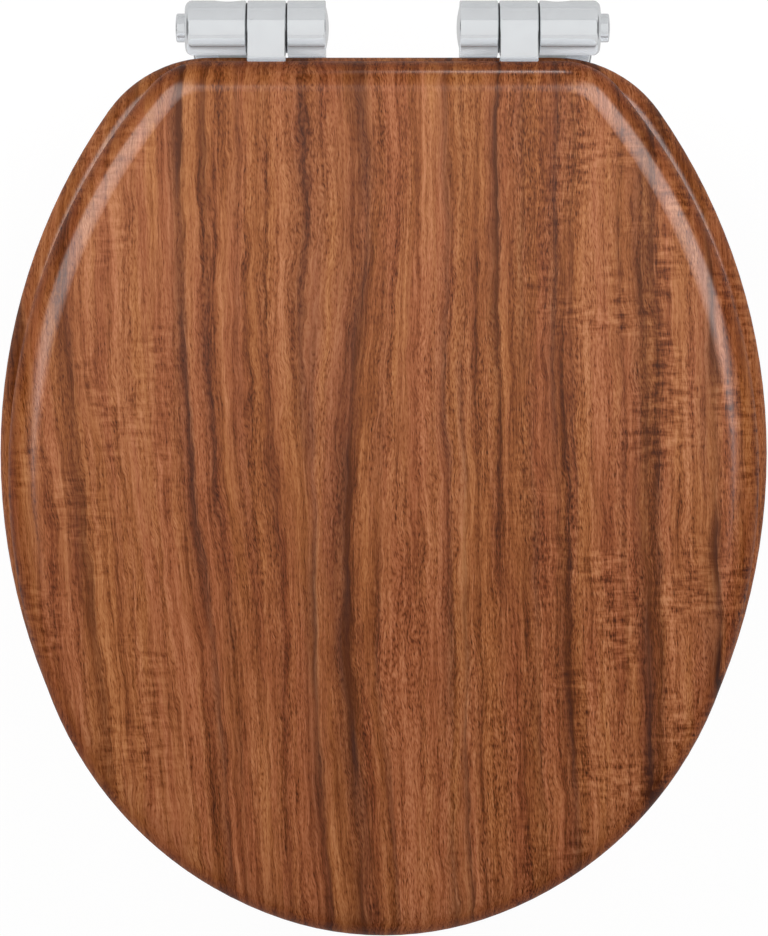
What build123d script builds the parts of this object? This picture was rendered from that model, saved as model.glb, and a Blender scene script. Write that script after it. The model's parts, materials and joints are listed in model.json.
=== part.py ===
from build123d import *
import os
from math import atan2, cos, degrees, hypot, radians, sin

# A wooden toilet seat: a ring and a lid on a pair of soft-close barrel hinges that lift off at
# the press of a button. Millimetres. +X is right, +Y goes back to the cistern and +Z is up. The
# origin lies midway between the two fixing studs, on the top of the bowl.

# Fixing to the bowl
stud_spacing = 155.0
stud_radius = 4.0
stud_length = 60.0
stud_shank = 12.0
stud_thread_radius = 3.6
stud_shoulder_radius = 5.0
stud_head_radius = 8.0
stud_head_height = 2.6
stud_bevel = 0.9
hex_key_flats = 5.0
hex_key_depth = 2.0
shelf_thickness = 20.0
nut_washer_radius = 12.0
nut_washer_top_radius = 9.0
nut_washer_height = 4.0
nut_washer_lip = 1.4
wing_nut_radius = 8.0
wing_nut_height = 9.0
wing_span = 40.0
wing_thickness = 3.6
wing_drop = 15.0
wing_web = 7.2
wing_shoulder_inset = 6.0
wing_tip_drop = 9.0
wing_tip_inset = 2.0
wing_foot = 6.0
wing_rounding = 1.5
gasket_thickness = 1.2
plate_thickness = 3.5
plate_rim = 2.5
plate_rounding = 1.4
post_radius = 5.0
post_spigot_radius = 4.0
post_offset = 8.5
axis_back = 9.8

# Stack of ring and lid above the bowl, a little to the left of the hinges' middle
board_offset = 4.4
rim_gap = 9.0
ring_thickness = 18.0
lid_gap = 5.0
lid_thickness = 18.5

# Ring
ring_width = 375.0
ring_rear_length = 193.4
ring_front_length = 230.6
ring_corner_radius = 62.0
ring_rear_side_angle = 35.0
ring_front_side_angle = 22.0
ring_nose_radius = 152.0
ring_nose_angle = 18.0
ring_outer_rounding = 15.0
ring_inner_rounding = 12.0
ring_lower_rounding = 2.5
opening_width = 226.0
opening_rear_rim = 86.0
opening_front_rim = 66.0
opening_rear_length = 125.0

# Lid
lid_width = 363.3
lid_rear_length = 199.3
lid_front_length = 223.7
lid_corner_radius = 34.0
lid_rear_side_angle = 40.3
lid_front_side_angle = 22.0
lid_nose_radius = 153.6
lid_nose_angle = 18.3
lid_upper_rounding = 16.5
lid_lower_rounding = 1.5

# Hinges, measured along the hinge axis from the post outwards and inwards
barrel_radius = 13.3
body_length = 29.6
post_inset = 15.0
body_rounding = 3.4
knuckle_length = 18.6
knuckle_gap = 0.8
knuckle_edge = 0.4
wear_washer_inset = 1.2
strap_step = 2.4
strap_brow = 2.3
strap_reach = 62.0
strap_thickness = 3.0
strap_end_radius = 7.0
ring_edge_gap = 0.3
lid_edge_gap = 4.3
nose_gap = 0.6
heel_angle = 60.0
foot_radius = 9.5
scallop_radius = 28.0
scallop_depth = 1.0
scallop_inset = 8.8
shaft_radius = 4.0
damper_radius = 9.55
damper_key_width = 3.0
damper_key_height = 1.0
knuckle_wall = 2.0
cap_radius = 10.8
cap_dome = 1.5
cap_plug = 2.3
clip_radius = 6.0
clip_thickness = 1.0
clip_groove_depth = 0.7
clip_setback = 1.0

# Release latch
button_radius = 7.0
button_proud = 4.8
button_seat = 4.5
button_dome = 0.6
button_rounding = 0.8
release_travel = 1.7
neck_radius = 3.4
neck_height = 4.6
post_tip = 8.0
post_tip_taper = 1.6
slide_hole_margin = 0.3
slide_wall = 1.4
slide_bar = 3.0
slide_thickness = 3.9
spring_radius = 2.0
spring_wire = 0.35
spring_turns = 5
spring_pocket = 4.0

# Screws and rubber buffers
screw_radius = 2.0
screw_head_radius = 3.8
screw_length = 16.0
screw_point = 4.0
screw_tip_radius = 0.5
screw_first = 34.0
screw_pitch = 18.0
buffer_length = 30.0
buffer_width = 13.0
buffer_rounding = 1.5
buffer_spigot_radius = 3.0
buffer_spigot_length = 6.0
ring_buffer_front_angle = 40.0
ring_buffer_rear_angle = 52.0
lid_buffer_radius = 7.0
lid_buffer_angle = 36.0

# Clearances
snug_fit = 0.025
running_fit = 0.05
sliding_fit = 0.1
play = 0.3

# Places worked out from the sizes above
stud_x = stud_spacing / 2
post_x = stud_x + post_offset
body_outer = post_x + post_inset
body_inner = body_outer - body_length
lid_knuckle_outer = body_inner - knuckle_gap
lid_knuckle_inner = lid_knuckle_outer - knuckle_length
ring_knuckle_outer = lid_knuckle_inner - knuckle_gap
ring_knuckle_inner = ring_knuckle_outer - knuckle_length
lid_arm_x = (lid_knuckle_inner + lid_knuckle_outer) / 2
ring_arm_x = (ring_knuckle_inner + ring_knuckle_outer) / 2
ring_top = rim_gap + ring_thickness
lid_underside = ring_top + lid_gap
lid_top = lid_underside + lid_thickness
axis_height = lid_underside + strap_step - barrel_radius
plate_top = gasket_thickness + plate_thickness
plate_radius = hypot(post_offset, axis_back) + post_radius + plate_rim
ring_rear_edge = axis_back - barrel_radius - ring_edge_gap
ring_widest = ring_rear_edge - ring_rear_length
ring_front_edge = ring_widest - ring_front_length
lid_rear_edge = axis_back - barrel_radius - lid_edge_gap
lid_widest = lid_rear_edge - lid_rear_length
opening_widest = ring_rear_edge - opening_rear_rim - opening_rear_length
opening_front_length = opening_widest - ring_front_edge - opening_front_rim
slide_hole_radius = post_radius + slide_hole_margin
slide_hole_x = post_x + release_travel
slide_inner = slide_hole_x - slide_hole_radius - slide_bar
slide_outer = body_outer - button_seat
slide_width = 2 * (slide_hole_radius + slide_wall)
shaft_outer = slide_inner - release_travel - play
spring_seat = shaft_outer - spring_pocket
spring_bore = spring_radius + 2 * spring_wire
shaft_inner = ring_knuckle_inner + cap_plug + play
clip_inner = shaft_inner + clip_setback
damper_bore_radius = damper_radius + running_fit
side_middle = (ring_width + opening_width) / 4
front_middle = opening_front_length + opening_front_rim / 2
rear_middle = opening_rear_length + opening_rear_rim / 2
screw_places = [axis_back - screw_first - i * screw_pitch for i in range(2)]


def closed_face(right_half):
    """A face from the edges of its right half and their mirror image."""
    edges = Curve() + right_half
    return make_face(edges + mirror(edges, Plane.YZ))


def stepped(centre, gap, angle):
    """The centre of the next arc in a chain, where the two arcs meet at the given angle."""
    return centre[0] + gap * cos(radians(angle)), centre[1] + gap * sin(radians(angle))


def rear_arcs(half, length, corner, side_angle):
    """Side arc from the widest point, tangent corner arc and straight rear edge of the right half."""
    rise = sin(radians(side_angle))
    side = (length - corner * (1 - rise)) / rise
    side_centre = (half - side, 0)
    corner_centre = stepped(side_centre, side - corner, side_angle)
    return [
        CenterArc(side_centre, side, 0, side_angle),
        CenterArc(corner_centre, corner, side_angle, 90 - side_angle),
        Line((corner_centre[0], length), (0, length)),
    ]


def front_arcs(half, length, side_angle, nose, nose_angle):
    """Side, flank and nose arcs of the right half, from the widest point round to the front.

    The three turn through 90 degrees between them. The side and flank radii are the pair that
    carries the chain forward by the length and inward by the half width.
    """
    rise, run = sin(radians(side_angle)), cos(radians(side_angle))
    nose_rise, nose_run = cos(radians(nose_angle)), sin(radians(nose_angle))
    inward = half - nose * nose_run
    forward = length - nose * (1 - nose_rise)
    det = (1 - run) * (nose_rise - rise) - rise * (run - nose_run)
    side = (inward * (nose_rise - rise) - forward * (run - nose_run)) / det
    flank = (forward * (1 - run) - inward * rise) / det
    side_centre = (half - side, 0)
    flank_centre = stepped(side_centre, side - flank, -side_angle)
    return [
        CenterArc(side_centre, side, -side_angle, side_angle),
        CenterArc(flank_centre, flank, nose_angle - 90, 90 - nose_angle - side_angle),
        CenterArc((0, nose - length), nose, -90, nose_angle),
    ]


def opening_outline():
    """Egg-shaped opening: two half ellipses that share the widest line."""
    half = opening_width / 2
    return closed_face([
        EllipticalCenterArc((0, 0), half, opening_rear_length, 0, arc_size=90),
        EllipticalCenterArc((0, 0), half, opening_front_length, -90, arc_size=90),
    ])


def along_axis(sketch, start, end):
    """Carry a section, drawn in y and z about the hinge axis, from x = start to x = end."""
    section = Plane((start, axis_back, axis_height), x_dir=(0, 1, 0), z_dir=(1, 0, 0))
    return extrude(section * sketch, end - start)


def turned(points):
    """Turn a profile of x and radius points about the hinge axis."""
    profile = Plane((0, axis_back, axis_height), x_dir=(1, 0, 0), z_dir=(0, -1, 0))
    spindle = Axis((0, axis_back, axis_height), (1, 0, 0))
    return revolve(profile * make_face(Polyline(*points, close=True)), spindle)


def upright(x, y, points):
    """Turn a profile of radius and z points about an upright axis at x, y."""
    profile = make_face(Polyline(*points, close=True))
    return Pos(x, y, 0) * revolve(Plane.XZ * profile, Axis.Z)


def pillar(x, y, radius, low, high):
    """An upright round bar from z = low to z = high."""
    return Pos(x, y, low) * extrude(Circle(radius), high - low)


def rim_spots(end, length, angle):
    """Mirrored places along the middle of the ring, at an angle from its rear or front end."""
    turn = radians(angle)
    x, y = side_middle * sin(turn), opening_widest + end * length * cos(turn)
    slope = degrees(atan2(-end * length * sin(turn), side_middle * cos(turn)))
    return [(x - board_offset, y, slope), (-x - board_offset, y, -slope)]


ring_buffer_places = (rim_spots(-1, front_middle, ring_buffer_front_angle)
                      + rim_spots(1, rear_middle, ring_buffer_rear_angle))
lid_buffer_places = rim_spots(-1, front_middle, lid_buffer_angle) + rim_spots(-1, front_middle, 90)


def screw_holes(x, seat):
    """Pilot holes for the pair of screws that come up through a strap at height seat."""
    depth = screw_length - strap_thickness + play
    holes = [pillar(side * x, y, screw_radius + running_fit, seat, seat + depth)
             for side in (-1, 1) for y in screw_places]
    return Part() + holes


def spigot_holes(places, seat):
    """Blind holes for the spigots of the rubber buffers."""
    depth = buffer_spigot_length + play
    holes = [pillar(x, y, buffer_spigot_radius + running_fit, seat, seat + depth)
             for x, y, turn in places]
    return Part() + holes


def lid():
    """Solid board with a broad rounding on top, drilled below for its hinge screws and buffers."""
    rear = rear_arcs(lid_width / 2, lid_rear_length, lid_corner_radius, lid_rear_side_angle)
    front = front_arcs(lid_width / 2, lid_front_length, lid_front_side_angle,
                       lid_nose_radius, lid_nose_angle)
    outline = closed_face(rear + front)
    board = Pos(-board_offset, lid_widest, lid_underside) * extrude(outline, lid_thickness)
    rounding = min(lid_upper_rounding, lid_thickness - lid_lower_rounding - play)
    board = fillet(board.edges().group_by(Axis.Z)[-1], rounding)
    board = fillet(board.edges().group_by(Axis.Z)[0], lid_lower_rounding)
    board -= screw_holes(lid_arm_x, lid_underside)
    return board - spigot_holes(lid_buffer_places, lid_underside)


def seat_ring():
    """Solid ring, rounded outside and towards its opening, drilled below like the lid."""
    rear = rear_arcs(ring_width / 2, ring_rear_length, ring_corner_radius, ring_rear_side_angle)
    front = front_arcs(ring_width / 2, ring_front_length, ring_front_side_angle,
                       ring_nose_radius, ring_nose_angle)
    outline = closed_face(rear + front)
    wall = ring_thickness - ring_lower_rounding - play
    board = extrude(outline, ring_thickness)
    board = fillet(board.edges().group_by(Axis.Z)[-1], min(ring_outer_rounding, wall))
    board = fillet(board.edges().group_by(Axis.Z)[0], ring_lower_rounding)
    opening_y = opening_widest - ring_widest
    board -= Pos(0, opening_y) * extrude(opening_outline(), ring_thickness)
    board = fillet(inner_edges(board, -1), min(ring_inner_rounding, wall))
    board = fillet(inner_edges(board, 0), ring_lower_rounding)
    board = Pos(-board_offset, ring_widest, rim_gap) * board
    board -= screw_holes(ring_arm_x, rim_gap)
    return board - spigot_holes(ring_buffer_places, rim_gap)


def inner_edges(board, level):
    """The edges of the opening in the topmost or the lowest flat face of the ring."""
    flat = board.faces().filter_by(Plane.XY).sort_by(Axis.Z)[level]
    return flat.inner_wires()[0].edges()


def knuckle(arm, inner, outer):
    """Bore a hinge arm's barrel for its damper and its shaft."""
    slot_height = damper_bore_radius + damper_key_height
    slot = Pos(0, slot_height / 2) * Rectangle(damper_key_width + 2 * running_fit, slot_height)
    arm -= along_axis(Circle(damper_bore_radius) + slot, inner, outer - knuckle_wall)
    return arm - along_axis(Circle(shaft_radius + play), inner, outer)


def strap_finish(arm, x, seat):
    """Round a strap's free end, break the edges of its sides and drill it for screws from below."""
    arm = fillet(arm.edges().filter_by(Axis.Z).sort_by(Axis.Y)[:2], strap_end_radius)
    sides = arm.faces().filter_by(Axis.X).sort_by(Axis.X)
    arm = chamfer(sides[0].edges() + sides[-1].edges(), knuckle_edge)
    low = seat - strap_thickness
    sink = screw_head_radius - screw_radius
    for y in screw_places:
        arm -= upright(x, y, [(0, low), (screw_head_radius + running_fit, low),
                              (screw_radius + running_fit, low + sink),
                              (screw_radius + running_fit, seat), (0, seat)])
    return arm


def lid_hinge_arm():
    """Barrel with a strap that runs level from its crown and steps down under the lid."""
    seat = lid_underside - axis_height
    nose = barrel_radius + lid_edge_gap - nose_gap
    strap = Polyline((0, barrel_radius), (-nose, barrel_radius), (-nose, seat), (-strap_reach, seat),
                     (-strap_reach, seat - strap_thickness), (0, seat - strap_thickness), close=True)
    section = Circle(barrel_radius) + make_face(strap)
    arm = along_axis(section, lid_knuckle_inner, lid_knuckle_outer)
    brow = (lid_arm_x, axis_back - nose, axis_height + barrel_radius)
    brow_edge = arm.edges().filter_by(Axis.X).sort_by_distance(brow)[:1]
    arm = fillet(brow_edge, min(strap_brow, strap_step - running_fit))
    arm = strap_finish(arm, lid_arm_x, lid_underside)
    return knuckle(arm, lid_knuckle_inner, lid_knuckle_outer)


def ring_hinge_arm():
    """Barrel with a leg that drops in front of it to a strap under the ring."""
    seat = rim_gap - axis_height
    sole = seat - strap_thickness
    heel = radians(heel_angle)
    heel_y, heel_z = barrel_radius * cos(heel), -barrel_radius * sin(heel)
    sole_y = heel_y - (heel_z - sole) * sin(heel) / cos(heel)
    strap = Polyline((0, 0), (-barrel_radius, 0), (-barrel_radius, seat), (-strap_reach, seat),
                     (-strap_reach, sole), (sole_y, sole), (heel_y, heel_z), close=True)
    section = Circle(barrel_radius) + make_face(strap)
    arm = along_axis(section, ring_knuckle_inner, ring_knuckle_outer)
    arm = strap_finish(arm, ring_arm_x, rim_gap)
    return knuckle(arm, ring_knuckle_inner, ring_knuckle_outer)


def damper(inner, outer):
    """Sealed rotary damper, keyed in its barrel and turning about the fixed shaft."""
    key = Pos(0, damper_radius) * Rectangle(damper_key_width, 2 * damper_key_height)
    section = Circle(damper_radius) + key - Circle(shaft_radius + running_fit)
    return along_axis(section, inner, outer - knuckle_wall)


def domed(radius, dome, base, tip):
    """A round bar along the hinge axis from x = base to a shallow domed end at x = tip."""
    ball_radius = (radius**2 + dome**2) / (2 * dome)
    inward, seam_turn = (-ball_radius, 180) if tip > base else (ball_radius, 0)
    ball = Pos(tip + inward, axis_back, axis_height) * Rot(0, 0, seam_turn) * Sphere(ball_radius)
    return along_axis(Circle(radius), min(base, tip), max(base, tip)) & ball


def end_cap():
    """Domed cap with a plug that closes the inner end of the ring's barrel."""
    face = domed(cap_radius, cap_dome, ring_knuckle_inner, ring_knuckle_inner - cap_dome)
    return face + along_axis(Circle(damper_radius), ring_knuckle_inner, ring_knuckle_inner + cap_plug)


def hinge_shaft():
    """Fixed steel shaft with a groove for its clip and a pocket for the latch spring."""
    groove = shaft_radius - clip_groove_depth
    clip_outer = clip_inner + clip_thickness
    return turned([(shaft_inner, 0), (shaft_inner, shaft_radius), (clip_inner, shaft_radius),
                   (clip_inner, groove), (clip_outer, groove), (clip_outer, shaft_radius),
                   (shaft_outer, shaft_radius), (shaft_outer, spring_bore),
                   (spring_seat, spring_bore), (spring_seat, 0)])


def shaft_clip():
    """Open retaining ring in the groove near the shaft's inner end."""
    groove = shaft_radius - clip_groove_depth + running_fit
    mouth = Pos(0, -clip_radius / 2) * Rectangle(groove, clip_radius)
    section = Circle(clip_radius) - Circle(groove) - mouth
    return along_axis(section, clip_inner + running_fit, clip_inner + clip_thickness - running_fit)


def knuckle_washer(start):
    """Thin wear washer on the shaft between two barrels."""
    section = Circle(barrel_radius - wear_washer_inset) - Circle(shaft_radius + running_fit)
    return along_axis(section, start + sliding_fit, start + knuckle_gap - sliding_fit)


def hinge_body():
    """Outer barrel with its foot, the bores for button, latch and shaft, and the post's socket."""
    body = along_axis(Circle(barrel_radius), body_inner, body_outer)
    bore = button_radius + sliding_fit
    rims = body.edges().filter_by(GeomType.CIRCLE).sort_by(Axis.X)
    body = fillet(rims[-1:], min(body_rounding, barrel_radius - bore - play))
    rims = body.edges().filter_by(GeomType.CIRCLE).sort_by(Axis.X)
    body = chamfer(rims[:1], knuckle_edge)
    scallop_y = axis_back + barrel_radius - scallop_depth + scallop_radius
    body -= pillar(body_inner + scallop_inset, scallop_y, scallop_radius, 0, lid_top)
    body += pillar(post_x, axis_back, foot_radius, plate_top, axis_height)
    bore_bottom = slide_outer - release_travel - play
    body -= along_axis(Circle(bore), bore_bottom, body_outer)
    slot = Rectangle(slide_width + 2 * sliding_fit, slide_thickness + 2 * sliding_fit)
    body -= along_axis(slot, shaft_outer, slide_outer)
    body -= along_axis(Circle(shaft_radius + snug_fit), body_inner, shaft_outer)
    body -= along_axis(Circle(spring_bore), shaft_outer, slide_inner)
    socket_top = axis_height + post_tip + play
    return body - pillar(post_x, axis_back, post_radius + sliding_fit, plate_top, socket_top)


def mounting_post():
    """Grooved post on the base plate, which the latch slide grips at the height of the axis."""
    tip = axis_height + post_tip
    return upright(post_x, axis_back, [
        (0, gasket_thickness), (post_spigot_radius, gasket_thickness), (post_spigot_radius, plate_top),
        (post_radius, plate_top), (post_radius, axis_height - neck_height / 2),
        (neck_radius, axis_height - neck_height / 2), (neck_radius, axis_height + neck_height / 2),
        (post_radius, axis_height + neck_height / 2), (post_radius, tip - post_tip_taper),
        (post_radius - post_tip_taper, tip), (0, tip)])


def base_plate():
    """Round plate on the bowl: the post stands off its centre, so turning it adjusts the seat."""
    plate = pillar(stud_x, 0, plate_radius, gasket_thickness, plate_top)
    plate = fillet(plate.edges().group_by(Axis.Z)[-1], min(plate_rounding, plate_thickness - play))
    plate -= pillar(post_x, axis_back, post_spigot_radius + running_fit, gasket_thickness, plate_top)
    seat = plate_top - stud_head_height
    return plate - upright(stud_x, 0, [
        (0, gasket_thickness), (stud_shoulder_radius + running_fit, gasket_thickness),
        (stud_shoulder_radius + running_fit, seat), (stud_head_radius + running_fit, plate_top),
        (0, plate_top)])


def base_gasket():
    """Soft washer between the base plate and the bowl."""
    pad = pillar(stud_x, 0, plate_radius - sliding_fit, 0, gasket_thickness)
    return pad - pillar(stud_x, 0, stud_shoulder_radius + sliding_fit, 0, gasket_thickness)


def fixing_stud():
    """Countersunk fixing bolt: head in the plate, plain shank through the bowl, then its thread."""
    seat = plate_top - stud_head_height
    bolt = upright(stud_x, 0, [
        (0, plate_top), (stud_head_radius, plate_top), (stud_shoulder_radius, seat),
        (stud_shoulder_radius, 0), (stud_radius, 0), (stud_radius, -stud_shank),
        (stud_thread_radius, -stud_shank), (stud_thread_radius, stud_bevel - stud_length),
        (stud_thread_radius - stud_bevel, -stud_length), (0, -stud_length)])
    socket = RegularPolygon(hex_key_flats / 2, 6, major_radius=False)
    return bolt - Pos(stud_x, 0, plate_top - hex_key_depth) * extrude(socket, hex_key_depth)


def nut_washer():
    """Rubber cone washer that is drawn up under the bowl's shelf."""
    hole = stud_thread_radius + sliding_fit
    low = -shelf_thickness - nut_washer_height
    return upright(stud_x, 0, [
        (hole, -shelf_thickness), (nut_washer_top_radius, -shelf_thickness),
        (nut_washer_radius, low + nut_washer_lip), (nut_washer_radius, low), (hole, low)])


def wing_nut():
    """Moulded wing nut with two ears that hang below its hub."""
    top = -shelf_thickness - nut_washer_height
    hub = pillar(stud_x, 0, wing_nut_radius, top - wing_nut_height, top)
    half = wing_span / 2
    foot_outer = half - wing_tip_inset
    ear = Polyline((0, 0), (half - wing_shoulder_inset, 0), (half, -wing_tip_drop),
                   (foot_outer, -wing_drop), (foot_outer - wing_foot, -wing_drop),
                   (wing_nut_radius - wing_thickness / 2, -wing_web), (0, -wing_web), close=True)
    blade = Pos(stud_x, 0, top) * extrude(Plane.XZ * make_face(ear), wing_thickness / 2, both=True)
    foot = (stud_x + half, 0, top - wing_drop)
    blade = fillet(blade.edges().filter_by(Axis.Y).sort_by_distance(foot)[:3], wing_rounding)
    other = Pos(stud_x, 0, 0) * Rot(0, 0, 180) * Pos(-stud_x, 0, 0) * blade
    nut = hub + blade + other
    return nut - pillar(stud_x, 0, stud_thread_radius + running_fit, top - wing_drop, top)


def release_button():
    """Round push button in the outer end of the hinge body."""
    plug = domed(button_radius, button_dome, slide_outer, body_outer + button_proud)
    rim = plug.edges().filter_by(GeomType.CIRCLE).sort_by(Axis.X)[-1:]
    return fillet(rim, button_rounding)


def latch_slide():
    """Flat slide pushed by the button, with the hole whose inner edge sits in the post's groove."""
    bar = along_axis(Rectangle(slide_width, slide_thickness), slide_inner, slide_outer)
    low = axis_height - slide_thickness
    return bar - pillar(slide_hole_x, axis_back, slide_hole_radius, low, low + 2 * slide_thickness)


def latch_spring():
    """Coil spring between the pocket in the shaft and the inner end of the slide."""
    start = spring_seat + spring_wire
    length = slide_inner - spring_wire - start
    path = Helix(length / spring_turns, length, spring_radius, direction=(1, 0, 0))
    wire = Plane(path @ 0, z_dir=path % 0) * Circle(spring_wire)
    return Pos(start, axis_back, axis_height) * sweep(wire, path)


def screw(x, y, seat):
    """Countersunk wood screw, head down in a strap whose upper face is at height seat."""
    low = seat - strap_thickness
    sink = screw_head_radius - screw_radius
    end = low + screw_length
    return upright(x, y, [
        (0, low), (screw_head_radius, low), (screw_radius, low + sink),
        (screw_radius, end - screw_point), (screw_tip_radius, end), (0, end)])


def screws(x, seat):
    """The four screws that hold a pair of straps."""
    return Compound(children=[screw(side * x, y, seat) for side in (-1, 1) for y in screw_places])


def buffers(places, pad, low, high):
    """Rubber buffers with spigots that press up into the wood above them."""
    block = Pos(0, 0, low) * extrude(pad, high - low)
    block = fillet(block.edges().group_by(Axis.Z)[0], buffer_rounding)
    block += pillar(0, 0, buffer_spigot_radius, high, high + buffer_spigot_length)
    return Compound(children=[Pos(x, y, 0) * Rot(0, 0, turn) * block for x, y, turn in places])


def save(name, shape):
    """Write one node."""
    export_step(shape, f"parts/{name}.step")


def save_pair(name, shape):
    """Write a right-hand piece and its mirror image on the left."""
    save(f"right_{name}", shape)
    save(f"left_{name}", mirror(shape, Plane.YZ))


def both_sides(shapes):
    """One group of separate solids: the given right-hand ones and their mirror images."""
    return Compound(children=shapes + [mirror(shape, Plane.YZ) for shape in shapes])


os.makedirs("parts", exist_ok=True)
save("lid", lid())
save("seat_ring", seat_ring())
save_pair("lid_hinge_arm", lid_hinge_arm())
save_pair("ring_hinge_arm", ring_hinge_arm())
save_pair("lid_damper", damper(lid_knuckle_inner, lid_knuckle_outer))
save_pair("ring_damper", damper(clip_inner + clip_thickness + play, ring_knuckle_outer))
save_pair("end_cap", end_cap())
save_pair("hinge_shaft", hinge_shaft())
save_pair("hinge_body", hinge_body())
save_pair("mounting_post", mounting_post())
save_pair("base_plate", base_plate())
save_pair("base_gasket", base_gasket())
save_pair("fixing_stud", fixing_stud())
save_pair("release_button", release_button())
save_pair("latch_slide", latch_slide())
save_pair("latch_spring", latch_spring())
save("shaft_clips", both_sides([shaft_clip()]))
save("knuckle_washers", both_sides([knuckle_washer(x) for x in (ring_knuckle_outer, lid_knuckle_outer)]))
save("nut_washers", both_sides([nut_washer()]))
save("wing_nuts", both_sides([wing_nut()]))
save("lid_screws", screws(lid_arm_x, lid_underside))
save("ring_screws", screws(ring_arm_x, rim_gap))
save("ring_buffers", buffers(ring_buffer_places, SlotOverall(buffer_length, buffer_width), 0, rim_gap))
save("lid_buffers", buffers(lid_buffer_places, Circle(lid_buffer_radius), ring_top, lid_underside))
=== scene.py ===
# %% [markdown]
# # Dressing a wooden toilet seat
#
# The solids of this seat come from a CAD model: a lid, a ring and two barrel hinges, each piece at
# its real size. This lesson gives them their looks. A streaky lacquered wood covers the lid and
# the ring, bright chrome covers the hinges, and the bolts, screws and springs get their threads
# and coils. Everything is in metres, in the frame of the CAD model: +X right, +Y back to the
# cistern, +Z up.

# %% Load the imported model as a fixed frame
import json

import bmesh
import bpy
import numpy as np
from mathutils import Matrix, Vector


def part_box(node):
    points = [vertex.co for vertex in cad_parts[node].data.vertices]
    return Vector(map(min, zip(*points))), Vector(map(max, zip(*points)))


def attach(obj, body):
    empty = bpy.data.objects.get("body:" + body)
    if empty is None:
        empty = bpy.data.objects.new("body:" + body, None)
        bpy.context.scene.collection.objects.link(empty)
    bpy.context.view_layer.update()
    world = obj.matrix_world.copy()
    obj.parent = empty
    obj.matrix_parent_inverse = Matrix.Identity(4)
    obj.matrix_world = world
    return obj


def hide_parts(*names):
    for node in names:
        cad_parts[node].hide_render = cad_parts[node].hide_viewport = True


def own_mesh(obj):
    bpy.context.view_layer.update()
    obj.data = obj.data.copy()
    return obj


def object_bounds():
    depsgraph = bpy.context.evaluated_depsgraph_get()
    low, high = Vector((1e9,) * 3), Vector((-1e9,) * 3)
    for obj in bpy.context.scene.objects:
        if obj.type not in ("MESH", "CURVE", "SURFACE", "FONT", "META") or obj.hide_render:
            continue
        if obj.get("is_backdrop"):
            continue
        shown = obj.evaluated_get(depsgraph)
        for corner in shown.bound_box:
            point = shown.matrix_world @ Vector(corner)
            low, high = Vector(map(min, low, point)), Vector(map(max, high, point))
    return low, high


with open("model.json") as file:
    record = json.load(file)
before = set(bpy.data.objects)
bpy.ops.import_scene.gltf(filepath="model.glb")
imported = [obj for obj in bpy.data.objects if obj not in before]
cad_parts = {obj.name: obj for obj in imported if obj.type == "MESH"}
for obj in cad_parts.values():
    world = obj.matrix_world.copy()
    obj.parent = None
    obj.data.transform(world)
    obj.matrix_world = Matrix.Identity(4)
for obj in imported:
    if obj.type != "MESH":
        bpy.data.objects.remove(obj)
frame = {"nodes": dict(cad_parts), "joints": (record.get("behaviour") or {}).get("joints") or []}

MM = 0.001
scene = bpy.context.scene
nodes = frame["nodes"]
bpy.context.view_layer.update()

# %% [markdown]
# ## The camera
#
# The seat is seen straight from above, closed, with its hinges at the top of the picture. A long
# lens two metres up keeps the outline almost free of perspective, so the ring shows as a narrow
# rim around the lid. The lens follows from the length of board that fills the picture's height.

# %% Point a long lens straight down
camera_height = 2.0
outline_level = 33.5 * MM
picture_length = 453.2 * MM
picture_aside = 0.17 * MM
picture_back = -204.6 * MM
sensor = 36.0

ring_low, ring_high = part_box("seat_ring")
board_middle = (ring_low.x + ring_high.x) / 2
top_camera = bpy.data.cameras.new("top_camera")
top_camera.sensor_width = sensor
top_camera.lens = sensor * (camera_height - outline_level) / picture_length
camera = bpy.data.objects.new("top_camera", top_camera)
camera.location = (board_middle + picture_aside, picture_back, camera_height)
scene.collection.objects.link(camera)
scene.camera = camera
scene.view_settings.view_transform = "Standard"
print("lens:", round(top_camera.lens, 1), "mm")

# %% [markdown]
# ## Soft boxes for matt surfaces
#
# The seat is shown as a shop would show it, on white. On a real set one soft box does two jobs: it
# lights what is matt, and glossy things mirror it. Blender can keep the jobs apart, because a lamp
# may be hidden from glossy rays or from diffuse ones. So the light on the wood and the reflections
# in its lacquer are each set by themselves. These two soft boxes stand behind the seat, on the
# left and the right, and do the first job only.

# %% Two soft boxes behind the seat
def area_lamp(name, place, target, size, radiance, matt=False, lights=()):
    """A rectangular lamp that faces target. Its power is pi times its area times its radiance.

    It either lights matt surfaces or shows in glossy ones. With a list of objects in lights, it
    reaches those alone.
    """
    width, height = size
    data = bpy.data.lights.new(name, "AREA")
    data.shape = "RECTANGLE"
    data.size = width
    data.size_y = height
    data.energy = np.pi * width * height * radiance
    lamp = bpy.data.objects.new(name, data)
    lamp.location = place
    lamp.rotation_euler = (Vector(target) - Vector(place)).to_track_quat("-Z", "Y").to_euler()
    lamp.visible_diffuse = matt
    lamp.visible_glossy = not matt
    scene.collection.objects.link(lamp)
    if lights:
        lamp.light_linking.receiver_collection = bpy.data.collections.new("lit_by_" + name)
        for lit in lights:
            lamp.light_linking.receiver_collection.objects.link(lit)
    print(name, "at", [round(part, 2) for part in lamp.location])


def around(middle, azimuth, elevation, distance):
    """The point so many degrees round from +X and above the floor, as seen from middle."""
    azimuth, elevation = np.radians((azimuth, elevation))
    flat = np.cos(elevation)
    way = Vector((flat * np.cos(azimuth), flat * np.sin(azimuth), np.sin(elevation)))
    return Vector(middle) + distance * way


seat_middle = (0.0, -0.2, 0.03)
for side, azimuth in (("right", 32), ("left", 148)):
    place = around(seat_middle, azimuth, elevation=41, distance=1.35)
    area_lamp(side + "_soft_box", place, seat_middle, size=(1.0, 0.85), radiance=3.4, matt=True)

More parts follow.
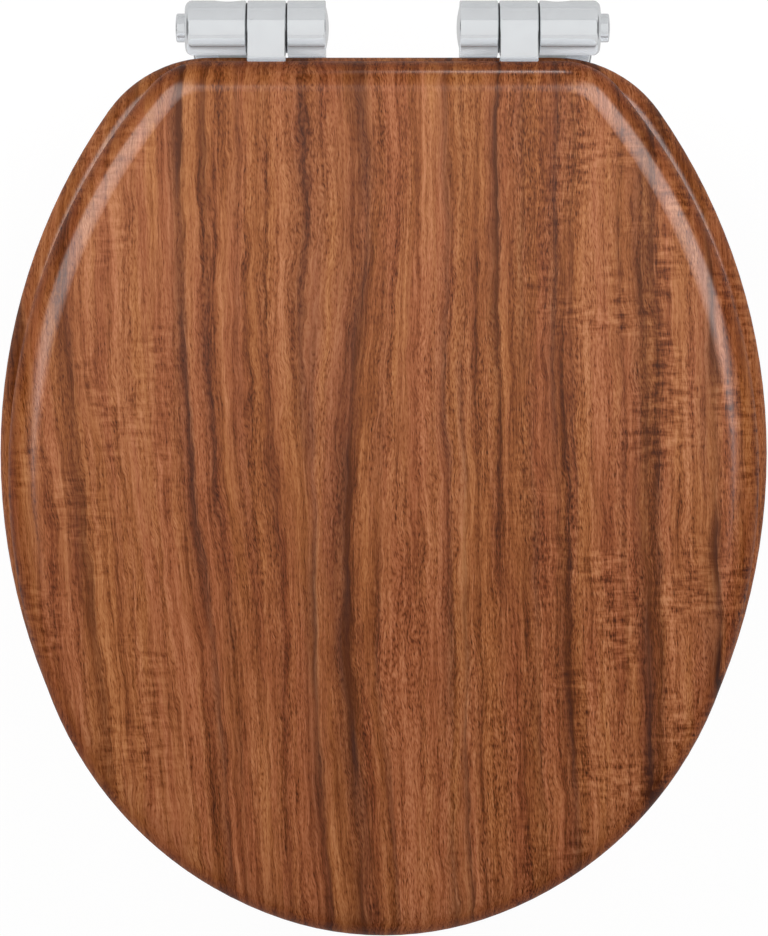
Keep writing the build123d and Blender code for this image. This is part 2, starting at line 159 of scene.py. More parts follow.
# %% [markdown]
# ## Cards for the lacquer to mirror
#
# The pale bands along the rounded rear corners of the lid are reflections, so they come from white
# cards that show in glossy surfaces only. Light linking lets these cards reach the boards alone,
# because the chrome wants others. A wide faint card overhead lays a slight haze on the flat of the
# lid, and a small strong strip far behind draws the thin line along the lid's rear edge.

# %% Cards that reach the boards alone
boards = [nodes["lid"], nodes["seat_ring"]]
for side, azimuth, radiance in (("right", 39, 4.6), ("left", 141, 4.0)):
    place = around(seat_middle, azimuth, elevation=46, distance=1.6)
    area_lamp(side + "_card", place, seat_middle, size=(1.2, 1.3), radiance=radiance, lights=boards)
place = around(seat_middle, azimuth=90, elevation=75, distance=2.2)
area_lamp("ceiling_card", place, seat_middle, size=(3.0, 1.2), radiance=0.32, lights=boards)
place = (0.122, 1.3, 0.2)
area_lamp("rear_strip", place, seat_middle, size=(0.16, 0.08), radiance=40.0, lights=[nodes["lid"]])

# %% [markdown]
# ## Cards for the chrome to mirror
#
# Polished chrome has hardly any colour of its own: a barrel shows what stands around it, drawn out
# into bands along its length. Three wide cards behind, above and in front of the hinges give the
# barrels their pale grey bands. Each has its own brightness, and the borders between them are the
# soft lines on the chrome.

# %% Cards that reach the chromed parts alone
hinge_middle = (0.0, 0.01, 0.02)
card_width = 5.0
chromed = [node for node in nodes.values() if node.material_slots[0].name.startswith("chrome")]
hinge_cards = (  # name, degrees round from +X, degrees up, distance, height, radiance
    ("rear", 90, 30, 1.5, 1.75, 0.64),
    ("top", -90, 86, 2.2, 2.85, 0.82),
    ("front", -90, 26, 1.5, 1.50, 0.74))
for name, azimuth, elevation, distance, height, radiance in hinge_cards:
    place = around(hinge_middle, azimuth, elevation, distance)
    area_lamp(name + "_hinge_card", place, hinge_middle, (card_width, height), radiance, lights=chromed)

# %% [markdown]
# ## Formulas as node trees
#
# The tent, the floor and every finish below are trees of shader nodes, and most of each tree is
# plain arithmetic. Written out in full, each step takes several lines. So a node's output is
# wrapped in a small class that knows how to add, subtract, multiply and divide. A formula then
# reads as it would on paper, and each of its steps becomes one Math node.

# %% A node's output to reckon with
class Signal:
    """The output of a node. Reckoning with it adds Math nodes to its tree."""

    def __init__(self, socket):
        self.socket = socket
        self.tree = socket.id_data

    def __add__(self, other):
        return calc("ADD", self, other)

    def __sub__(self, other):
        return calc("SUBTRACT", self, other)

    def __rsub__(self, other):
        return calc("SUBTRACT", other, self)

    def __mul__(self, other):
        return calc("MULTIPLY", self, other)

    def __truediv__(self, other):
        return calc("DIVIDE", self, other)

    __radd__ = __add__
    __rmul__ = __mul__


def signals(node):
    """The outputs of a node, by number and by name."""
    return {key: Signal(socket) for number, socket in enumerate(node.outputs)
            for key in (number, socket.name)}


def put(value, socket):
    """Join a signal to an input, or write a number or a colour there."""
    if isinstance(value, Signal):
        value.tree.links.new(value.socket, socket)
    else:
        socket.default_value = value


def add(tree, kind, feeds=None, **options):
    """Add one node with its options and inputs, and return its outputs."""
    node = tree.nodes.new("ShaderNode" + kind)
    for name, value in options.items():
        setattr(node, name, value)
    for key, value in (feeds or {}).items():
        put(value, node.inputs[key])
    return signals(node)


def calc(operation, *values):
    """One Math node, in the tree of the first signal among its values."""
    tree = next(value.tree for value in values if isinstance(value, Signal))
    return add(tree, "Math", dict(enumerate(values)), operation=operation)[0]


print("arithmetic ready")

# %% [markdown]
# ## A pale tent around the seat
#
# Around the lamps hangs a white tent, which is the world's own light. It throws light back mostly
# from the front, as a fill on matt surfaces. In mirrors it is almost dark, because there the cards
# are what should show, and to the camera it is plain white. The kind of each ray, read from the
# Light Path node, picks among the three.

# %% One tent with three strengths
def remap(value, span, to=(0.0, 1.0)):
    """Carry a span of values to another one with soft ends, and hold it there outside."""
    feeds = dict(enumerate((value, *span, *to)))
    return add(value.tree, "MapRange", feeds, interpolation_type="SMOOTHSTEP")[0]


def between(share, first, second):
    """The number that lies a share of the way from first to second."""
    return add(share.tree, "Mix", {0: share, 2: first, 3: second})[0]


def ray_kinds(tree):
    """Two masks: rays that come from the camera, and rays that gloss or glass sends on."""
    ray = add(tree, "LightPath")
    return ray["Is Camera Ray"], calc("MAXIMUM", ray["Is Glossy Ray"], ray["Is Transmission Ray"])


white = (1, 1, 1, 1)
dim = 0.04
front_fill = 0.74
fill_border = (0.25, -0.25)

world = bpy.data.worlds.new("tent")
world.use_nodes = True
scene.world = world
tent = world.node_tree
from_camera, mirrored = ray_kinds(tent)
way = add(tent, "SeparateXYZ", {0: add(tent, "TexCoord")["Generated"]})
fill = remap(way["Y"], fill_border, (dim, front_fill))
background = tent.nodes["Background"].inputs
put(calc("MAXIMUM", between(mirrored, fill, dim), from_camera), background["Strength"])
put(white, background["Color"])
print("tent:", len(tent.nodes), "nodes")

# %% [markdown]
# ## A level for the floor
#
# In use a bowl holds the seat up. Here a sheet of white paper lies below it, deep enough for the
# lid to swing right back over it. With the ring and the lid both fully open, the lid has turned
# past half a circle and dips behind its hinge. Its reach and its rise above the hinge's axis say
# how deep, and the paper lies a millimetre lower.

# %% A sheet just below the lid's full swing
joints = {joint["name"]: joint for joint in frame["joints"]}
axis_y, axis_z = joints["lid_hinge"]["pos_m"][1:]
swing = sum(joints[name]["range_deg"][1] for name in ("ring_hinge", "lid_hinge"))
dip = np.radians(swing - 180)
lid_low, lid_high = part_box("lid")
lid_reach = axis_y - lid_low.y
lid_rise = lid_high.z - axis_z
floor_room = 1.0 * MM
floor_level = axis_z - lid_reach * np.sin(dip) - lid_rise * np.cos(dip) - floor_room
floor_half = 6.0

corners = floor_half * np.array([(-1, -1), (1, -1), (1, 1), (-1, 1)])
floor_mesh = bpy.data.meshes.new("floor")
floor_mesh.from_pydata([(x, y, floor_level) for x, y in corners], [], [(0, 1, 2, 3)])
floor = bpy.data.objects.new("floor", floor_mesh)
scene.collection.objects.link(floor)
floor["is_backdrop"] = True
print("floor at", round(floor_level / MM, 1), "mm")

# %% [markdown]
# ## White paper that keeps the shadow
#
# White paper under studio light is never quite white, and turning the lamps up would flood the
# wood. So what the camera sees is mostly a glow of the paper itself, mixed with enough of a matt
# sheet to carry the seat's shadow. Farther out the matt share fades away, and the paper passes
# into the white of the tent with no horizon.

# %% Glow near white, shadow kept
def new_material(name):
    """A new material, its node tree, and the inputs of its Principled shader."""
    material = bpy.data.materials.new(name)
    material.use_nodes = True
    tree = material.node_tree
    return material, tree, tree.nodes["Principled BSDF"].inputs


def millimetres(tree):
    """Object coordinates in millimetres, as a vector and as its three parts."""
    place = add(tree, "TexCoord")["Object"]
    vector = add(tree, "VectorMath", {0: place, 3: 1 / MM}, operation="SCALE")[0]
    return vector, add(tree, "SeparateXYZ", {0: vector})


glow_seen = 1.07
glow_mirrored = 0.65
fade_span = (600, 1600)
glow_shares = (0.86, 1.0)
paper_white = (0.75, 0.75, 0.75, 1)

white_paper, paper, _ = new_material("white_paper")
from_camera, mirrored = ray_kinds(paper)
spot, _ = millimetres(paper)
from_middle = add(paper, "VectorMath", {0: spot}, operation="LENGTH")["Value"]
glow_share = calc("MAXIMUM", from_camera, mirrored) * remap(from_middle, fade_span, glow_shares)
glow = between(mirrored, glow_seen, glow_mirrored)
sheet = add(paper, "BsdfDiffuse", {"Color": paper_white})[0]
shine = add(paper, "Emission", {"Color": white, "Strength": glow})[0]
shown = add(paper, "MixShader", {0: glow_share, 1: sheet, 2: shine})[0]
put(shown, paper.nodes["Material Output"].inputs["Surface"])
floor_mesh.materials.append(white_paper)
print("paper:", len(paper.nodes), "nodes")

# %% [markdown]
# ## The wood: one dark streak
#
# The boards show a straight, dark-streaked figure that runs from front to back. The strongest
# streaks are what the eye remembers, so each of them is placed one by one: how far across the board
# it lies, how wide it is, and how dark it is at the rear and at the front. A streak is the late
# wood of a year ring, which ends sharply on one side and pales slowly on the other. Two bell
# curves draw that across the grain: a narrow one for the line, and a broad one whose left flank is
# a long tail. One small node group holds the formula, and the board places it once a streak.

# %% A streak as a node group
def new_group(name, inputs, outputs):
    """An empty shader node group with named sockets: its tree, what it is given, what it makes."""
    tree = bpy.data.node_groups.new(name, "ShaderNodeTree")
    for way, sockets in (("INPUT", inputs), ("OUTPUT", outputs)):
        for label, kind in sockets.items():
            tree.interface.new_socket(label, in_out=way, socket_type="NodeSocket" + kind)
    given = signals(tree.nodes.new("NodeGroupInput"))
    return tree, given, tree.nodes.new("NodeGroupOutput").inputs


def bell(off, right, left):
    """A bell curve, e to the power of minus f squared.

    f is the distance off the middle, times right on the right side and times left on the left.
    """
    flank = calc("MAXIMUM", off * right, off * -left)
    return calc("EXPONENT", flank * flank * -1.0)


line_share = 0.60
tail_share = 0.50
streak_needs = ("Across", "Frontness", "Place", "Half width", "Rear", "Front")

streak, given, made = new_group("dark_streak", dict.fromkeys(streak_needs, "Float"), {"Dark": "Float"})
off = (given["Across"] - given["Place"]) / given["Half width"]
profile = line_share * bell(off, right=2.4, left=1.5) + tail_share * bell(off, right=1.5, left=0.5)
put(profile * between(given["Frontness"], given["Rear"], given["Front"]), made["Dark"])
print("streak group:", len(streak.nodes), "nodes")

# %% [markdown]
# ## The wood: the way the grain runs
#
# No board is ruled. The grain leans a little, most on the left, and straightens towards the rear.
# It sways in slow waves and curls in short ones, and in the middle it bows out and back. All of
# this goes into one coordinate across the grain. Whatever is drawn with that coordinate follows
# the same lines, so rings, fibres and streaks flow together. Lengths are in millimetres, and along
# the grain they are counted from the board's middle towards the rear.

# %% Bend the coordinates of a board
def noise(vector, sizes, detail=2.0, rough=0.5):
    """Noise whose lumps measure about sizes, in the vector's own unit, along its three axes."""
    shares = [1 / size for size in sizes]
    scaled = add(vector.tree, "VectorMath", {0: vector, 1: shares}, operation="MULTIPLY")[0]
    feeds = {"Vector": scaled, "Scale": 1.0, "Detail": detail, "Roughness": rough}
    return add(vector.tree, "TexNoise", feeds)[0]


grain_middle = -196.0
grain_half = 140.0
lean_left = 0.098
lean_right = 0.022
straight_from = 50.0
straight_share = 0.2
sway_reach = 9.0
curl_reach = 5.0
bow_place = -12.0
bow_size = 6.0
bow_peak = 132.0
bow_period = 420.0

board, given, made = new_group("board_figure", {"Shift": "Vector"},
                               {"Color": "Color", "Relief": "Float"})
spot, _ = millimetres(board)
spot = add(board, "VectorMath", {0: spot, 1: given["Shift"]}, operation="ADD")[0]
parts = add(board, "SeparateXYZ", {0: spot})
aside = parts["X"]
depth = parts["Z"]
along = parts["Y"] - grain_middle
lean = remap(aside, (-100, -15), (lean_left, lean_right))
straighter = along * straight_share + straight_from * (1 - straight_share)
leant = calc("MINIMUM", along, straighter) * lean
sway = (noise(spot, (60, 130, 60), detail=1.0) - 0.5) * sway_reach
curl = (noise(spot, (7, 24, 9)) - 0.5) * curl_reach
wave = calc("COSINE", (along - bow_peak) * (2 * np.pi / bow_period))
beside = calc("ABSOLUTE", aside - bow_place)
bow = wave * remap(beside, (34, 8), (0.0, bow_size))
across = aside + leant + (sway + curl) - bow
grain = add(board, "CombineXYZ", {0: across, 1: along, 2: depth})[0]
print("bent grain:", len(board.nodes), "nodes")

# %% [markdown]
# ## The wood: rings, fibres and pores
#
# A cabinet maker would name four things here. The growth rings give broad bands of tone with finer
# bands in them, the fibres give thin lines, and the pores give short dark dashes that lean off the
# grain. The fourth is a wavy grain, whose ripple across the board shows in patches near the sides.
# All of them are noise, stretched along the grain by its three sizes: across, along and into the
# board. Lines of wood could also be drawn with a Wave texture, but its bands are too regular.

# %% Layers of stretched noise
rings = noise(grain, (12, 400, 90), rough=0.6)
bands = noise(grain, (3.2, 130, 60), rough=0.65)
fibres = noise(grain, (0.6, 16, 8), rough=0.65)

pore_lean = 0.06
dashes = add(board, "CombineXYZ", {0: across + along * pore_lean, 1: along, 2: depth})[0]
specks = noise(dashes, (0.42, 2.6, 2), detail=1.0)
pores = remap(specks, (0.56, 0.70))
coarse = remap(noise(grain, (11, 90, 60), detail=1.0), (0.4, 0.6), (0.45, 1.0))
grit = (0.5 - specks) * coarse * remap(aside, (-120, 60), (0.75, 1.15))

ripple_lean = 0.6
tilted = add(board, "CombineXYZ", {0: across, 1: along + sway * ripple_lean})[0]
patches = remap(noise(spot, (30, 40, 60), detail=1.0), (0.44, 0.62))
outer = calc("MAXIMUM", remap(aside, (40, 110), (0.1, 1.5)), remap(aside, (-80, -120)))
ripple = (noise(tilted, (11, 3.2, 20), rough=0.55) - 0.5) * (patches * outer)
print("with its layers:", len(board.nodes), "nodes")

# %% [markdown]
# ## The wood: laying the streaks
#
# Now the streaks go on, from left to right. Noise could scatter them too, but the look of this
# board hangs on where they are. The fibres feather their borders, which keeps them from looking
# painted, and a slow noise lets each one fade and come back along its length.

# %% Place the streaks one by one
streaks = (  # place across the grain and half width in millimetres, darkness at the rear and the front
    (-147.5, 3.6, 0.60, 0.60), (-90, 2.6, 0.85, 0.40), (-79, 2.4, 0.45, 0.20), (-65, 2.0, 0.20, 0.05),
    (-53, 2.6, 0.15, 0.15), (-37.5, 2.4, 0.40, 0.0), (-33, 3.4, 0.10, 0.65), (-14, 6.5, 0.50, 0.75),
    (1, 2.4, 0.0, 0.30), (32, 2.6, 0.30, 0.40), (39.5, 2.0, 0.22, 0.45), (46.6, 2.4, 0.24, 0.15),
    (56.5, 2.0, 0.75, 0.0), (68, 2.0, 0.36, 0.0), (72, 2.4, 0.10, 0.35), (84, 2.2, 0.50, 0.0),
    (88, 2.4, 0.10, 0.62), (92.5, 1.6, 0.35, 0.10), (115, 1.8, 0.35, 0.10), (125.5, 2.4, 0.55, 0.55),
    (130.5, 3.6, 0.75, 0.75), (159.5, 3.2, 0.65, 0.85))
feather = 3.0

feathered = across + (fibres - 0.5) * feather
frontness = remap(along, (grain_half, -grain_half))
total = 0.0
for streak_values in streaks:
    feeds = dict(zip(streak_needs, (feathered, frontness, *streak_values)))
    total = total + add(board, "Group", feeds, node_tree=streak)["Dark"]
fade = remap(noise(grain, (9, 70, 60), detail=1.0), (0.32, 0.6), (0.45, 1.15))
streaked = calc("MINIMUM", total * fade, 1.0)
print("streaks:", len(streaks))

# %% [markdown]
# ## The wood: from tone to colour
#
# The layers add up to one tone, from 0 dark to 1 pale, which picks a brown from a ramp. The board
# is painted a little paler at its rear: painted light, standing in for the light from the lamps
# behind it. Real boards also change hue from ring to ring, so a slow noise tints some bands rosy
# and others amber. The streaks come last, as an ink over the brown: warm where the band is amber,
# and purplish where it is rosy. The fibres and the pores also give the relief that the lacquer
# shows.

# %% Add up the tone and colour it
# Painted light: the board's tone is raised towards the rear, where the lamps stand.
shaded_front_tone = 0.580
lit_rear_tone = 0.632
tone = remap(along, (-grain_half, grain_half), (shaded_front_tone, lit_rear_tone))
weights = ((rings - 0.5, 0.70), (bands - 0.5, 0.90), (fibres - 0.5, 0.90), (grit, 0.95), (ripple, 0.90),
           (pores, -0.09), (streaked, -0.16))
for layer, weight in weights:
    tone = tone + layer * weight

browns = (  # tone and colour
    (0.00, (0.048, 0.012, 0.004)), (0.22, (0.104, 0.024, 0.006)), (0.40, (0.195, 0.050, 0.012)),
    (0.55, (0.292, 0.086, 0.025)), (0.75, (0.412, 0.142, 0.050)), (1.00, (0.540, 0.220, 0.095)))
ramp = board.nodes.new("ShaderNodeValToRGB")
while len(ramp.color_ramp.elements) < len(browns):
    ramp.color_ramp.elements.new(0.5)
for element, (position, brown) in zip(ramp.color_ramp.elements, browns):
    element.position = position
    element.color = (*brown, 1)
put(tone, ramp.inputs[0])
print("tone from", len(browns), "browns")


# %% Tint the bands and lay the ink
def mingle(share, first, second, how="MIX"):
    """Blend two colours by a share."""
    feeds = {0: share, 6: first, 7: second}
    return add(share.tree, "Mix", feeds, data_type="RGBA", blend_type=how)[2]


rosy = (0.95, 0.85, 0.93, 1)
amber = (1.0, 1.03, 0.78, 1)
warm_ink = (0.085, 0.019, 0.004, 1)
purple_ink = (0.048, 0.016, 0.010, 1)
rosy_share = 0.6
amber_share = 0.5
ink_share = 0.92
fibre_height = 0.5
pore_height = -0.6

hue = noise(grain, (9, 150, 90))
colour = mingle(remap(hue, (0.50, 0.62)) * rosy_share, Signal(ramp.outputs[0]), rosy, "MULTIPLY")
colour = mingle(remap(hue, (0.50, 0.38)) * amber_share, colour, amber, "MULTIPLY")
ink = mingle(remap(hue, (0.42, 0.56)), warm_ink, purple_ink)
put(mingle(streaked * ink_share, colour, ink), made["Color"])
put(fibres * fibre_height + pores * pore_height, made["Relief"])
print("board group:", len(board.nodes), "nodes")

# %% [markdown]
# ## Lacquer over the wood
#
# The boards are stained and finished with a clear gloss lacquer. In the Principled shader that is
# a coat: a clear layer with its own roughness over the matt wood. On the rounded edges the lacquer
# is thinner, and the wood is painted darker and more saturated there as painted shade. How far the
# surface faces up or down tells where that is.
# The pores show as a faint relief, which breaks reflections into fine strokes along the grain.
#
# One trick serves the chrome beside the boards, and it is a painted reflection. In a shop's picture
# of such a seat the hinges mirror white cards and no wood, as if a card had been slid in front of
# the boards. So for mirrored rays, and only within a few centimetres of the hinges, a board is
# painted to look like such a card: pale, glowing though it is no lamp, and without its coat. The
# lid and the ring are cut from different boards, so each has its own shift.

# %% Lacquered wood for the lid and the ring
# Painted reflection: the pale colour and the glow a board shows to mirrored rays near the hinges.
painted_card_white = (0.64, 0.65, 0.67, 1)
painted_card_glow = (0.4, 0.41, 0.42, 1)
no_glow = (0, 0, 0, 1)
painted_card_zone = (-60, -30)
edge_shade_slope = (0.95, 0.55)
coat_slope = (0.70, 0.93)
coat_weights = (0.25, 0.95)
relief_span = (-0.3, 0.5)
wood_roughness = (0.48, 0.36)


def lacquered_wood(name, shift, edge_shade):
    """Streaky board, darkened on its steep edges as painted shade, under a clear coat that thins out
    there.
    """
    material, tree, shader = new_material(name)
    figure = add(tree, "Group", {"Shift": shift}, node_tree=board)
    normal = add(tree, "SeparateXYZ", {0: add(tree, "TexCoord")["Normal"]})
    upward = calc("ABSOLUTE", normal["Z"])
    # Painted shade: the steep edges are multiplied by a darker, more saturated brown.
    edge_shaded = mingle(remap(upward, edge_shade_slope), figure["Color"], (*edge_shade, 1), "MULTIPLY")
    bump = add(tree, "Bump", {"Strength": 0.35, "Distance": 0.05 * MM, "Height": figure["Relief"]})

    # Painted reflection: near the hinges, mirrored rays see a pale card that glows though it is no
    # lamp.
    near_hinge = remap(millimetres(tree)[1]["Y"], painted_card_zone)
    as_painted_card = add(tree, "LightPath")["Is Glossy Ray"] * near_hinge
    put(mingle(as_painted_card, edge_shaded, painted_card_white), shader["Base Color"])
    put(mingle(as_painted_card, no_glow, painted_card_glow), shader["Emission Color"])
    put(1.0, shader["Emission Strength"])
    put(remap(figure["Relief"], relief_span, wood_roughness), shader["Roughness"])
    put(remap(upward, coat_slope, coat_weights) * (1.0 - as_painted_card), shader["Coat Weight"])
    put(0.22, shader["Coat Roughness"])
    put(0.0, shader["Specular IOR Level"])
    put(bump["Normal"], shader["Normal"])
    return material


to_middle = -board_middle / MM
# The last colour of each board is the painted shade on its steep edges.
woods = {
    "lid": lacquered_wood("lid_wood", (to_middle, 0, 0), edge_shade=(0.68, 0.54, 0.37)),
    "seat_ring": lacquered_wood("ring_wood", (to_middle + 23, 60, 40), edge_shade=(0.84, 0.76, 0.60)),
}
print("wood finishes:", ", ".join(wood.name for wood in woods.values()))

# %% [markdown]
# ## Metal, plastic and rubber
#
# The other finishes are plainer, but none of them is one flat value. A shared group gives three
# scales of unevenness: a soft cloud of a centimetre or so, fine scratches, and a grit as fine as
# a moulding's surface. Each finish mixes them into its colour, its roughness and its relief.

# %% Shared unevenness
uneven, given, made = new_group("surface_marks", {"Cloud size": "Float"},
                                {"Cloud": "Float", "Scratches": "Float", "Grit": "Float"})
spot, _ = millimetres(uneven)
clouds = add(uneven, "VectorMath", {0: spot, 1: given["Cloud size"]}, operation="DIVIDE")[0]
put(noise(clouds, (1, 1, 1), detail=3.0), made["Cloud"])
put(noise(spot, (6.0, 0.25, 0.25)), made["Scratches"])
put(noise(spot, (0.35, 0.35, 0.35), detail=1.0), made["Grit"])
print("unevenness group:", len(uneven.nodes), "nodes")


# %% A finish from a short recipe
def plain_finish(name, pale, dark, rough, metal=0.0, cloud_size=12.0, relief="Grit", depth=0.01,
                 sockets=None):
    """A cloudy finish between two colours and two roughnesses, with a relief of depth millimetres.

    Other values go straight to the shader's sockets, by name.
    """
    material, tree, shader = new_material(name)
    marks = add(tree, "Group", {"Cloud size": cloud_size}, node_tree=uneven)
    bump = add(tree, "Bump", {"Strength": 0.5, "Distance": depth * MM, "Height": marks[relief]})
    put(mingle(remap(marks["Cloud"], (0.35, 0.65)), (*dark, 1), (*pale, 1)), shader["Base Color"])
    put(remap(marks["Scratches"], (0.3, 0.7), rough), shader["Roughness"])
    put(bump["Normal"], shader["Normal"])
    put(metal, shader["Metallic"])
    for label, value in (sockets or {}).items():
        put(value, shader[label])
    return material


recipes = {
    "chrome": dict(pale=(0.80, 0.82, 0.84), dark=(0.78, 0.80, 0.82), rough=(0.13, 0.16),
                   metal=0.75, cloud_size=9.0, depth=0.0002),
    "chrome_plastic": dict(pale=(0.79, 0.81, 0.83), dark=(0.77, 0.79, 0.81), rough=(0.14, 0.17),
                           metal=0.75, cloud_size=6.0, depth=0.0003),
    "steel": dict(pale=(0.60, 0.59, 0.57), dark=(0.50, 0.49, 0.48), rough=(0.22, 0.38),
                  metal=1.0, cloud_size=5.0, relief="Scratches"),
    "zinc_steel": dict(pale=(0.70, 0.70, 0.66), dark=(0.58, 0.58, 0.57), rough=(0.28, 0.45),
                       metal=1.0, cloud_size=3.0),
    "black_plastic": dict(pale=(0.016, 0.016, 0.017), dark=(0.010, 0.010, 0.010), rough=(0.38, 0.55)),
    "white_plastic": dict(pale=(0.78, 0.77, 0.74), dark=(0.72, 0.71, 0.68), rough=(0.35, 0.50)),
    "grey_rubber": dict(pale=(0.20, 0.20, 0.20), dark=(0.14, 0.14, 0.145), rough=(0.60, 0.78),
                        depth=0.03),
    "clear_rubber": dict(pale=(0.86, 0.88, 0.86), dark=(0.78, 0.80, 0.78), rough=(0.25, 0.42),
                         sockets={"Transmission Weight": 0.65, "IOR": 1.48}),
}
finishes = {name: plain_finish(name, **recipe) for name, recipe in recipes.items()}
print("finishes:", ", ".join(finishes))

# %% [markdown]
# ## Dressing the solids
#
# Each solid came with one slot, named for what the piece is made of: chromed metal, steel, rubber
# and so on. The finish of that name takes the slot's place. Only the two boards have a finish each,
# because their figure differs.

# %% Give every CAD node its finish
for name, node in nodes.items():
    for slot in node.material_slots:
        slot.material = woods.get(name) or finishes[slot.material.name]
print("dressed nodes:", len(nodes))

# %% [markdown]
# ## Threads on the fixing bolts
#
# The two bolts that hold the seat on the bowl are plain rods in the CAD model. A real one is
# rolled between dies that press a helical groove into it. A helix is easy to write as a surface:
# go round the rod with one parameter and along it with the other, and let the radius follow a
# wave whose phase turns once a pitch. No sweep or boolean is needed, and the mesh stays even.

# %% A closed skin over a grid of points
def skin(name, sheets, body, slot, sharp=35, merge=0.0005 * MM):
    """A mesh over grids of points: each grid's rows run from pole to pole, its columns wrap round.

    Rows that meet in one point are merged there, and edges sharper than so many degrees stay sharp.
    """
    copies, rows, columns = sheets.shape[:3]
    index = np.arange(copies * rows * columns).reshape(copies, rows, columns)
    turned = np.roll(index, -1, axis=2)
    quads = np.stack([index[:, :-1], turned[:, :-1], turned[:, 1:], index[:, 1:]], axis=-1)
    mesh = bpy.data.meshes.new(name)
    mesh.from_pydata(sheets.reshape(-1, 3), [], quads.reshape(-1, 4))
    shell = bmesh.new()
    shell.from_mesh(mesh)
    bmesh.ops.remove_doubles(shell, verts=shell.verts, dist=merge)
    bmesh.ops.recalc_face_normals(shell, faces=shell.faces)
    shell.to_mesh(mesh)
    shell.free()
    mesh.shade_smooth()
    mesh.set_sharp_from_angle(angle=np.radians(sharp))
    mesh.materials.append(finishes[slot])
    piece = bpy.data.objects.new(name, mesh)
    scene.collection.objects.link(piece)
    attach(piece, body)
    print(name, len(mesh.polygons), "faces")
    return piece


print("skin ready")


# %% Wind the thread round both bolts
def circle(points):
    """Angles of so many points round a circle, as one row."""
    return np.linspace(0, 2 * np.pi, points, endpoint=False)[None, :]


def spin(radius, level, angle):
    """Points of a turned surface: each row has its radius and level, each column its angle."""
    radius, level, angle = np.broadcast_arrays(radius, level, angle)
    return np.stack([radius * np.cos(angle), radius * np.sin(angle), level], axis=-1)


def thread(level, angle, pitch, root, crest, flat_crest=0.1, foot=0.5):
    """Radius of a thread: a triangle wave along the rod whose phase turns once for each pitch.

    Its tips are cut off. Shares of half the pitch, counted from the middle of the crest, say where
    the flat crest ends and where the flank meets the flat root.
    """
    away = np.abs(2 * ((level / pitch - angle / (2 * np.pi)) % 1) - 1)
    return root + (crest - root) * np.clip((foot - away) / (foot - flat_crest), 0, 1)


bolt_pitch = 1.25 * MM
bolt_root = 3.45 * MM
bolt_crest = 3.98 * MM
bolt_chamfer = 1.0 * MM
thread_top = -12.6 * MM
rows_per_turn = 10
bolt_columns = 48

angle = circle(bolt_columns)
bolts = []
for bolt in ("left_fixing_stud", "right_fixing_stud"):
    low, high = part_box(bolt)
    middle = (low + high) / 2
    level = np.arange(low.z + bolt_chamfer, thread_top, bolt_pitch / rows_per_turn)[:, None]
    runout = np.clip(np.minimum(level - level[0], level[-1] - level) / bolt_pitch, 0, 1)
    radius = bolt_root + runout * (thread(level, angle, bolt_pitch, bolt_root, bolt_crest) - bolt_root)
    radius[[0, -1]] = 0
    bolts.append(spin(radius, level, angle) + np.array([middle.x, middle.y, 0]))
skin("bolt_threads", np.stack(bolts), "hinge_base", "zinc_steel")

# %% [markdown]
# ## Wood screws
#
# Eight countersunk screws hold the hinge straps on the boards. Seen from below, with the lid up,
# they show a cross recess, and they are the kind of small thing that makes a hinge look real.
# Each is one grid again. Its first rows sweep the head's face from the middle outwards, and the
# face sinks where the smaller of |x| and |y| lies within the cross. The later rows climb the
# cone, wind the thread and close in the point.

# %% One screw as a grid
screw_radius = 2.0 * MM
screw_head_radius = 3.8 * MM
screw_length = 16.0 * MM
screw_point = 4.0 * MM
screw_pitch = 1.8 * MM
screw_root = 0.72 * screw_radius
screw_tip = 0.04
face_rows = 24
screw_columns = 64
cross_half = 0.55 * MM
cross_wall = 0.18 * MM
cross_reach = 0.62 * screw_head_radius
cross_end = 0.3 * MM
cross_depth = 1.5 * MM
cross_rise = 0.35


def wood_screw():
    """Face with a cross recess, 45 degree cone, threaded shank and point, upwards from level 0.

    The recess is as deep as three factors say: inside the cross's arms, short of their ends, and
    a little less with each step outwards.
    """
    angle = circle(screw_columns)
    reach = np.linspace(0, screw_head_radius, face_rows)[:, None]
    from_arm = np.minimum(np.abs(reach * np.cos(angle)), np.abs(reach * np.sin(angle)))
    in_arm = np.clip((cross_half - from_arm) / cross_wall, 0, 1)
    in_reach = np.clip((cross_reach - reach) / cross_end, 0, 1)
    sunk = cross_depth * in_arm * in_reach * (1 - cross_rise * reach / screw_head_radius)
    cone_end = screw_head_radius - screw_radius
    level = np.arange(cone_end, screw_length, screw_pitch / rows_per_turn)[:, None]
    close = np.clip((screw_length - level) / screw_point, screw_tip, 1)
    shank = close * thread(level, angle, screw_pitch, screw_root, screw_radius)
    rows = [spin(reach, sunk, angle), spin(shank, level, angle), spin(0.0, screw_length, angle)]
    return np.concatenate(rows)


one_screw = wood_screw()
print("one screw:", one_screw.shape[0], "rows of", one_screw.shape[1], "points")

# %% Four copies in each board
for name, body in (("lid_screws", "lid"), ("ring_screws", "ring")):
    low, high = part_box(name)
    across = high.x - screw_head_radius
    places = [(side * across, y, low.z) for side in (-1, 1)
              for y in (low.y + screw_head_radius, high.y - screw_head_radius)]
    copies = one_screw[None] + np.array(places)[:, None, None, :]
    fitted = skin(name + "_cut", copies, body, "zinc_steel")
    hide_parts(name)
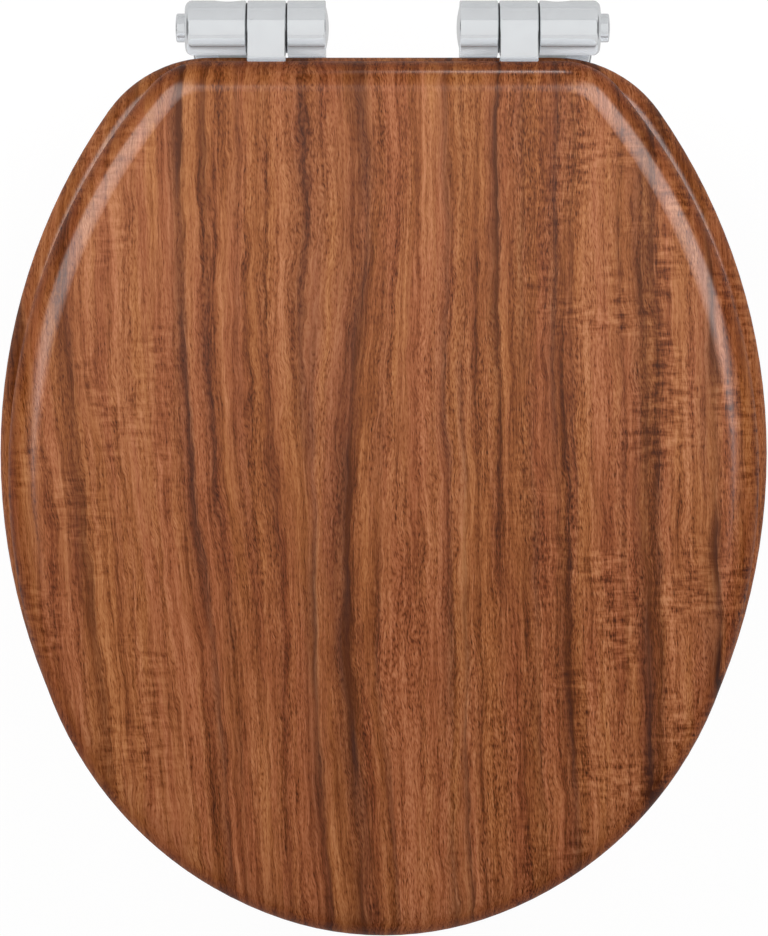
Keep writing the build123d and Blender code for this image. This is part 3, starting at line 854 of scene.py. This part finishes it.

# %% [markdown]
# ## Latch springs
#
# Behind each release button a small coil spring pushes the latch outwards, and it gets shorter
# when the button is pressed. Each coil is a mesh of its own, wound between the ends of the
# spring's CAD solid. Its surface has two parameters: the turn along the wire and the angle round
# the wire.

# %% Two coils, each a mesh of its own
def coil(start, end, turns, coil_radius, wire_radius, steps=32, sides=12):
    """A tube round a helix about the X axis, with a row of one point at each end to close it.

    A row is a circle across the wire, of so many sides, and a turn has so many steps. The circle's
    two directions point away from the axis, and square to both that and the wire.
    """
    turn = np.linspace(0, 2 * np.pi * turns, steps * turns)[:, None]
    outward = np.hstack([0 * turn, np.cos(turn), np.sin(turn)])
    onward = np.hstack([0 * turn, -np.sin(turn), np.cos(turn)])
    forward = coil_radius * onward + np.array([(end - start) / turn[-1, 0], 0, 0])
    sideways = np.cross(forward, outward)
    sideways /= np.linalg.norm(sideways, axis=1, keepdims=True)
    centre = coil_radius * outward
    centre[:, 0] = np.linspace(start, end, len(turn))
    angle = circle(sides)[..., None]
    around_wire = np.cos(angle) * outward[:, None] + np.sin(angle) * sideways[:, None]
    tips = np.repeat(centre[[0, -1], None], angle.size, axis=1)
    return np.concatenate([tips[:1], centre[:, None] + wire_radius * around_wire, tips[1:]])


wire_radius = 0.35 * MM
coil_turns = 5
for side in ("left", "right"):
    low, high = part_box(side + "_latch_spring")
    middle = (low + high) / 2
    fixed, free = sorted((low.x, high.x), key=abs)
    inset = np.sign(free) * wire_radius
    coil_radius = (high.z - low.z) / 2 - wire_radius
    tube = coil(fixed + inset, free - inset, coil_turns, coil_radius, wire_radius)
    tube += np.array([0, middle.y, middle.z])
    fitted = skin(side + "_latch_coil", tube[None], "hinge_base", "steel")
    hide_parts(side + "_latch_spring")
    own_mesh(fitted)

# %% [markdown]
# ## The size, once more
#
# Looks must not change how large the object is. The box around the dressed model is printed in
# millimetres.

# %% Note the size and finish
low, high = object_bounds()
print("visual size in mm:", [round(side / MM, 1) for side in high - low])
